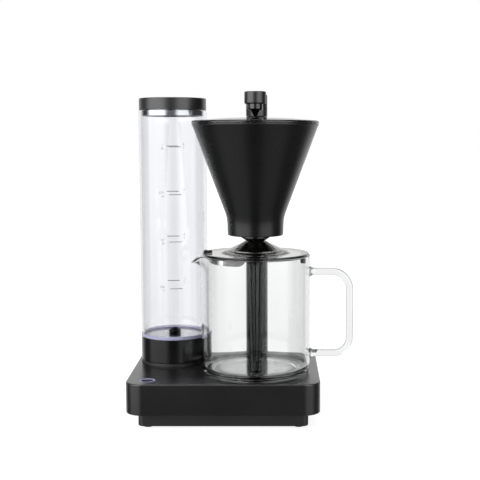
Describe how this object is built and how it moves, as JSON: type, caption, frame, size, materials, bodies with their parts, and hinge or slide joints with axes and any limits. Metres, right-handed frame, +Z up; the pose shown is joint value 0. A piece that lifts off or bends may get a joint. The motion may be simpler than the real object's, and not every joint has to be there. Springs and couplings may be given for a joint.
{
  "type": "filter coffee brewer",
  "caption": "Upright drip coffee brewer: tall clear water tank, cone filter holder on a rear column, swivelling spray arm and lidded glass jug on a warming base.",
  "frame": {"origin": "on the surface that the feet stand on, under the middle of the whole object's box, jug handle, filter holder and cord gland included", "axes": "+X to the right as seen by the user, +Y to the back, +Z up"},
  "size_m": [0.26, 0.18, 0.3795],
  "materials": {
    "shell_black": "satin",
    "pan_black": "satin",
    "holder_black": "satin",
    "column_black": "satin",
    "lid_black": "satin",
    "gloss_black": "polished",
    "plug_chrome": "polished",
    "button_black": "polished",
    "led_white": "satin",
    "tank_clear": "polished",
    "smoke_clear": "polished",
    "jug_glass": "polished",
    "plate_black": "satin",
    "rubber_black": "matte",
    "silicone": "matte",
    "silicone_red": "matte",
    "steel": "satin",
    "aluminium": "satin",
    "bush_white": "satin",
    "board_green": "satin",
    "ceramic": "matte"
  },
  "bodies": {
    "base": {"base_shell": "shell_black", "bottom_pan": "pan_black", "feet": "rubber_black", "pan_screws": "steel", "warming_plate": "plate_black", "plate_seal": "rubber_black", "flow_heater": "aluminium", "heater_strap": "steel", "strap_screws": "steel", "thermostat": "ceramic", "thermal_fuse": "ceramic", "dock": "pan_black", "dock_seal": "silicone", "dock_elbow": "pan_black", "check_valve": "bush_white", "inlet_hose": "silicone", "outlet_hose": "silicone", "hose_clips": "steel", "control_board": "board_green", "board_screws": "steel", "button_switch": "gloss_black", "led_ring": "led_white", "terminal_block": "bush_white", "cord_gland": "rubber_black", "column_foot": "column_black", "column_sleeve": "column_black", "column_tube": "column_black", "column_nut": "steel", "riser_pipe": "steel", "column_head": "lid_black", "head_bush": "bush_white", "holder_bracket": "column_black", "bracket_screws": "steel", "button_spring": "steel"},
    "button": {"power_button": "button_black"},
    "arm": {"spray_arm": "lid_black", "arm_cover": "lid_black", "arm_seal": "silicone", "spout_cap": "lid_black", "spout": "gloss_black"},
    "tank": {"tank_tube": "tank_clear", "tank_base": "lid_black", "valve_guide": "pan_black", "valve_spring": "steel"},
    "tank_valve": {"valve_head": "rubber_black"},
    "tank_lid": {"tank_lid": "lid_black", "tank_lid_plug": "plug_chrome", "tank_lid_seal": "silicone"},
    "filter": {"filter_funnel": "holder_black", "drip_housing": "gloss_black", "drip_spring": "steel"},
    "drip_stop": {"drip_plunger": "gloss_black", "drip_seal": "silicone_red"},
    "filter_lid": {"filter_lid": "smoke_clear"},
    "jug": {"jug_glass": "jug_glass", "jug_handle": "jug_glass"},
    "jug_lid": {"jug_lid": "smoke_clear", "lid_cone": "gloss_black", "mixing_tube": "gloss_black", "lid_catch": "gloss_black"}
  },
  "joints": [
    {"name": "button_press", "type": "slide", "parent": "base", "child": "button", "axis": [0, 0, 1], "range_m": [-0.0015, 0], "stiffness_N_per_m": 300, "springref_m": 0.004, "deforming": ["button_spring"]},
    {"name": "arm_swivel", "type": "hinge", "parent": "base", "child": "arm", "pos_m": [0.016, 0.0705, 0.366], "axis": [0, 0, 1], "range_deg": [-35, 95]},
    {"name": "tank_lift", "type": "slide", "parent": "base", "child": "tank", "axis": [0, 0, 1], "range_m": [0, 0.15]},
    {"name": "tank_valve_lift", "type": "slide", "parent": "tank", "child": "tank_valve", "axis": [0, 0, 1], "range_m": [0, 0.003], "stiffness_N_per_m": 150, "springref_m": -0.004, "deforming": ["valve_spring"]},
    {"name": "tank_lid_lift", "type": "slide", "parent": "tank", "child": "tank_lid", "axis": [0, 0, 1], "range_m": [0, 0.06]},
    {"name": "filter_slide", "type": "slide", "parent": "base", "child": "filter", "axis": [0, -1, 0], "range_m": [0, 0.14]},
    {"name": "drip_stop_lift", "type": "slide", "parent": "filter", "child": "drip_stop", "axis": [0, 0, 1], "range_m": [0, 0.0025], "stiffness_N_per_m": 200, "springref_m": -0.004, "deforming": ["drip_spring"]},
    {"name": "filter_lid_lift", "type": "slide", "parent": "filter", "child": "filter_lid", "axis": [0, 0, 1], "range_m": [0, 0.012]},
    {"name": "jug_slide", "type": "slide", "parent": "base", "child": "jug", "axis": [0, -1, 0], "range_m": [0, 0.16]},
    {"name": "jug_lid_turn", "type": "hinge", "parent": "jug", "child": "jug_lid", "pos_m": [0.016, -0.0165, 0.192], "axis": [0, 0, 1], "range_deg": [-50, 30]}
  ]
}
